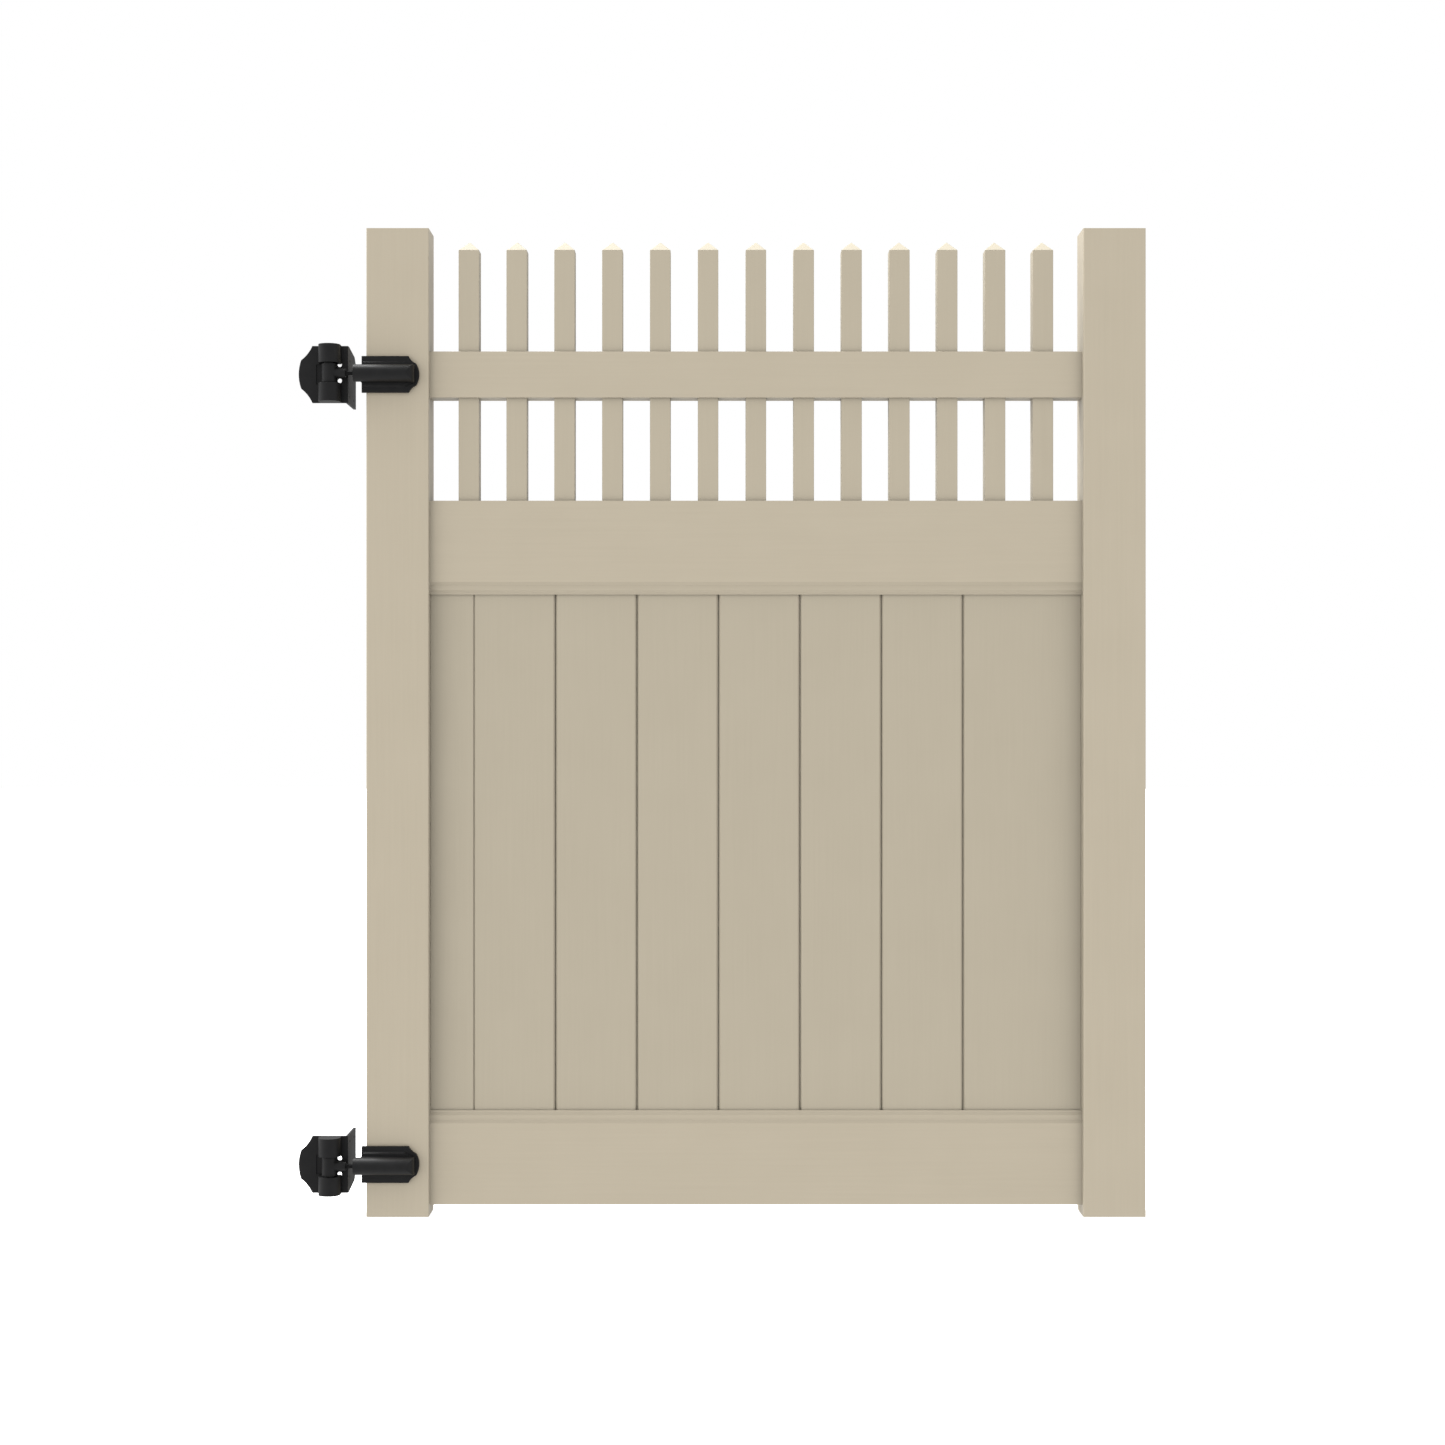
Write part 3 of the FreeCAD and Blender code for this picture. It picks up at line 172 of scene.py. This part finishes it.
def makeBlack(name, light, dark, rough, gloss):
    material, tree, shader, place = startMaterial(name)
    grit = noise(tree, place, moulding["grit"])
    clouds = noise(tree, place, moulding["clouds"])
    tree.links.new(twoColours(tree, clouds, light, dark), shader.inputs["Base Color"])
    roughness = spread(tree, clouds, rough - moulding["smoother"], rough + moulding["rougher"])
    tree.links.new(roughness, shader.inputs["Roughness"])
    tree.links.new(bump(tree, grit, moulding["gritBump"], moulding["gritDepth"]), shader.inputs["Normal"])
    shader.inputs["Specular IOR Level"].default_value = gloss
    return material


# bare metals: drawn lines up the piece over slow clouding
drawn = dict(lines=900.0, stretch=0.05, lineBump=0.15, lineDepth=0.1 * mm, clouds=120.0,
             smoother=0.08, rougher=0.10, metallic=1.0)
metals = {
    "zincSteel": dict(light=(0.62, 0.62, 0.60), dark=(0.48, 0.48, 0.47), rough=0.34),
    "springWire": dict(light=(0.46, 0.46, 0.47), dark=(0.34, 0.34, 0.35), rough=0.30),
    "millAluminium": dict(light=(0.70, 0.70, 0.71), dark=(0.58, 0.58, 0.59), rough=0.38),
}


def makeMetal(name, light, dark, rough):
    material, tree, shader, place = startMaterial(name)
    lines = noise(tree, stretched(tree, place, (1.0, 1.0, drawn["stretch"])), drawn["lines"])
    clouds = noise(tree, place, drawn["clouds"])
    tree.links.new(twoColours(tree, clouds, light, dark), shader.inputs["Base Color"])
    roughness = spread(tree, lines, rough - drawn["smoother"], rough + drawn["rougher"])
    tree.links.new(roughness, shader.inputs["Roughness"])
    tree.links.new(bump(tree, lines, drawn["lineBump"], drawn["lineDepth"]), shader.inputs["Normal"])
    shader.inputs["Metallic"].default_value = drawn["metallic"]
    return material


finishes = {name: makeVinyl(name, **look) for name, look in vinyls.items()}
finishes.update({name: makeBlack(name, **look) for name, look in blacks.items()})
finishes.update({name: makeMetal(name, **look) for name, look in metals.items()})

# which finish each material slot of the frame gets; the rails have the upright's slot, with lines across
finishOfSlot = {
    "frame_vinyl": "uprightVinyl",
    "board_vinyl": "boardVinylPaintedShade",
    "picket_vinyl": "picketVinylPaintedShade",
    "cap_vinyl": "capVinyl",
    "hinge_black": "hingeNylon",
    "cap_black": "capNylon",
    "nylon": "bushNylon",
    "black_steel": "coatedSteel",
    "steel": "zincSteel",
    "spring_steel": "springWire",
    "aluminium": "millAluminium",
}
slotOf = {}
for name, piece in nodes.items():
    slotOf[name] = piece.data.materials[0].name.split(".")[0]
    finish = "railVinyl" if name.endswith("_rail") else finishOfSlot[slotOf[name]]
    piece.material_slots[0].material = finishes[finish]
print("finishes on", len(nodes), "nodes")


def onBothHinges(piece):
    return ["upper_" + piece, "lower_" + piece]


def inSlot(slot):
    return [name for name in nodes if slotOf[name] == slot]


# every extrusion and moulding gets its real softened edges, width in millimetres
softened = {
    "postLeaves": dict(width=0.9, names=onBothHinges("post_leaf")),
    "straps": dict(width=0.8, names=onBothHinges("strap")),
    "covers": dict(width=0.8, names=onBothHinges("strap_cover")),
    "knuckles": dict(width=0.5, names=onBothHinges("knuckle")),
    "tensionCaps": dict(width=0.4, names=onBothHinges("tension_cap")),
    "bolts": dict(width=0.4, names=onBothHinges("adjusting_bolt")),
    "uprights": dict(width=0.5, names=["hinge_upright", "latch_upright"]),
    "rails": dict(width=0.6, names=["top_rail", "middle_rail", "bottom_rail"]),
    "boards": dict(width=0.6, names=inSlot("board_vinyl")),
    "pickets": dict(width=0.3, names=inSlot("picket_vinyl")),
    "caps": dict(width=0.8, names=["picket_caps"]),
}

# angles in degrees: faces nearly in line are joined first, then only true corners are rounded
edging = dict(weld=0.01 * mm, flatWithin=0.5, cornerFrom=20.0, smoothUpTo=50.0, steps=2,
              roundness=0.5, flatWeight=100)


def softCopy(name, width):
    source = nodes[name]
    made = bmesh.new()
    made.from_mesh(source.data)
    bmesh.ops.remove_doubles(made, verts=made.verts, dist=edging["weld"])
    flat = math.radians(edging["flatWithin"])
    bmesh.ops.dissolve_limit(made, angle_limit=flat, verts=made.verts, edges=made.edges)
    corner = math.radians(edging["cornerFrom"])
    corners = [edge for edge in made.edges if edge.is_manifold and edge.calc_face_angle() > corner]
    bmesh.ops.bevel(made, geom=corners, offset=width * mm, offset_type="OFFSET", segments=edging["steps"],
                    profile=edging["roundness"], affect="EDGES", clamp_overlap=True)
    bmesh.ops.dissolve_degenerate(made, dist=edging["weld"], edges=made.edges)
    for face in made.faces:
        face.smooth = True
    mesh = bpy.data.meshes.new(name + "Soft")
    made.to_mesh(mesh)
    made.free()
    mesh.set_sharp_from_angle(angle=math.radians(edging["smoothUpTo"]))
    mesh.materials.append(source.material_slots[0].material)
    piece = bpy.data.objects.new(name + "_soft", mesh)
    scene.collection.objects.link(piece)
    weights = piece.modifiers.new("flatFaces", "WEIGHTED_NORMAL")
    weights.weight = edging["flatWeight"]
    weights.keep_sharp = True
    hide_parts(name)
    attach(piece, source["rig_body"])


for kind, look in softened.items():
    for name in look["names"]:
        softCopy(name, look["width"])
    print("softened", kind)

# an even white studio, brighter from the left and round the rim than from straight ahead or behind
studio = dict(middle=0.69, rim=0.60, towards=(-0.20, -0.15, -0.06), seen=1.0, bounces=0)


def makeStudio(look):
    world = bpy.data.worlds.new("studio")
    scene.world = world
    world.use_nodes = True
    tree = world.node_tree
    lit = tree.nodes["Background"]
    lit.inputs["Color"].default_value = white
    way = tree.nodes.new("ShaderNodeTexCoord")
    facing = tree.nodes.new("ShaderNodeVectorMath")
    facing.operation = "DOT_PRODUCT"
    facing.inputs[1].default_value = look["towards"]
    tree.links.new(way.outputs["Generated"], facing.inputs[0])
    parts = tree.nodes.new("ShaderNodeSeparateXYZ")
    tree.links.new(way.outputs["Generated"], parts.inputs[0])
    ahead = arithmetic(tree, "ABSOLUTE", parts.outputs["Y"])
    rim = arithmetic(tree, "MULTIPLY_ADD", ahead, -look["rim"], look["middle"] + look["rim"])
    tree.links.new(arithmetic(tree, "ADD", facing.outputs["Value"], rim), lit.inputs["Strength"])
    seen = tree.nodes.new("ShaderNodeBackground")
    seen.inputs["Strength"].default_value = look["seen"]
    seen.inputs["Color"].default_value = white
    ray = tree.nodes.new("ShaderNodeLightPath")
    choose = tree.nodes.new("ShaderNodeMixShader")
    tree.links.new(ray.outputs["Is Camera Ray"], choose.inputs[0])
    tree.links.new(lit.outputs[0], choose.inputs[1])
    tree.links.new(seen.outputs[0], choose.inputs[2])
    tree.links.new(choose.outputs[0], tree.nodes["World Output"].inputs["Surface"])
    scene.cycles.diffuse_bounces = look["bounces"]


makeStudio(studio)

# one wide soft lamp above, to the left and slightly behind
lamp = dict(strength=4.0, width=30.0, place=(-0.36, 0.26, 0.89))


def makeLamp(look):
    light = bpy.data.lights.new("keyLamp", "SUN")
    light.energy = look["strength"]
    light.angle = math.radians(look["width"])
    keyLamp = bpy.data.objects.new("keyLamp", light)
    scene.collection.objects.link(keyLamp)
    keyLamp.rotation_euler = Vector(look["place"]).to_track_quat("Z", "Y").to_euler()


makeLamp(lamp)

# a plain pale floor that lights nothing
ground = dict(half=30.0, tone=(0.85, 0.85, 0.85, 1.0), rough=0.9, glow=1.0)


def makeFloor(look):
    half = look["half"]
    mesh = bpy.data.meshes.new("floor")
    corners = [(-half, -half, 0.0), (half, -half, 0.0), (half, half, 0.0), (-half, half, 0.0)]
    mesh.from_pydata(corners, [], [(0, 1, 2, 3)])
    floor = bpy.data.objects.new("floor", mesh)
    scene.collection.objects.link(floor)
    material = bpy.data.materials.new("paleFloor")
    material.use_nodes = True
    shader = material.node_tree.nodes["Principled BSDF"]
    shader.inputs["Base Color"].default_value = look["tone"]
    shader.inputs["Roughness"].default_value = look["rough"]
    shader.inputs["Emission Color"].default_value = white
    shader.inputs["Emission Strength"].default_value = look["glow"]
    mesh.materials.append(material)
    floor.visible_diffuse = False
    floor.visible_glossy = False


makeFloor(ground)

# straight ahead of the gate, level, at half its height
view = dict(place=(0.0, -4.676, 0.9145), turn=90.0, lens=62.65, sensor=36.0)
lens = bpy.data.cameras.new("camera")
lens.lens = view["lens"]
lens.sensor_width = view["sensor"]
camera = bpy.data.objects.new("camera", lens)
scene.collection.objects.link(camera)
camera.location = view["place"]
camera.rotation_euler = (math.radians(view["turn"]), 0.0, 0.0)
scene.camera = camera
scene.view_settings.view_transform = "Standard"
print("studio ready")
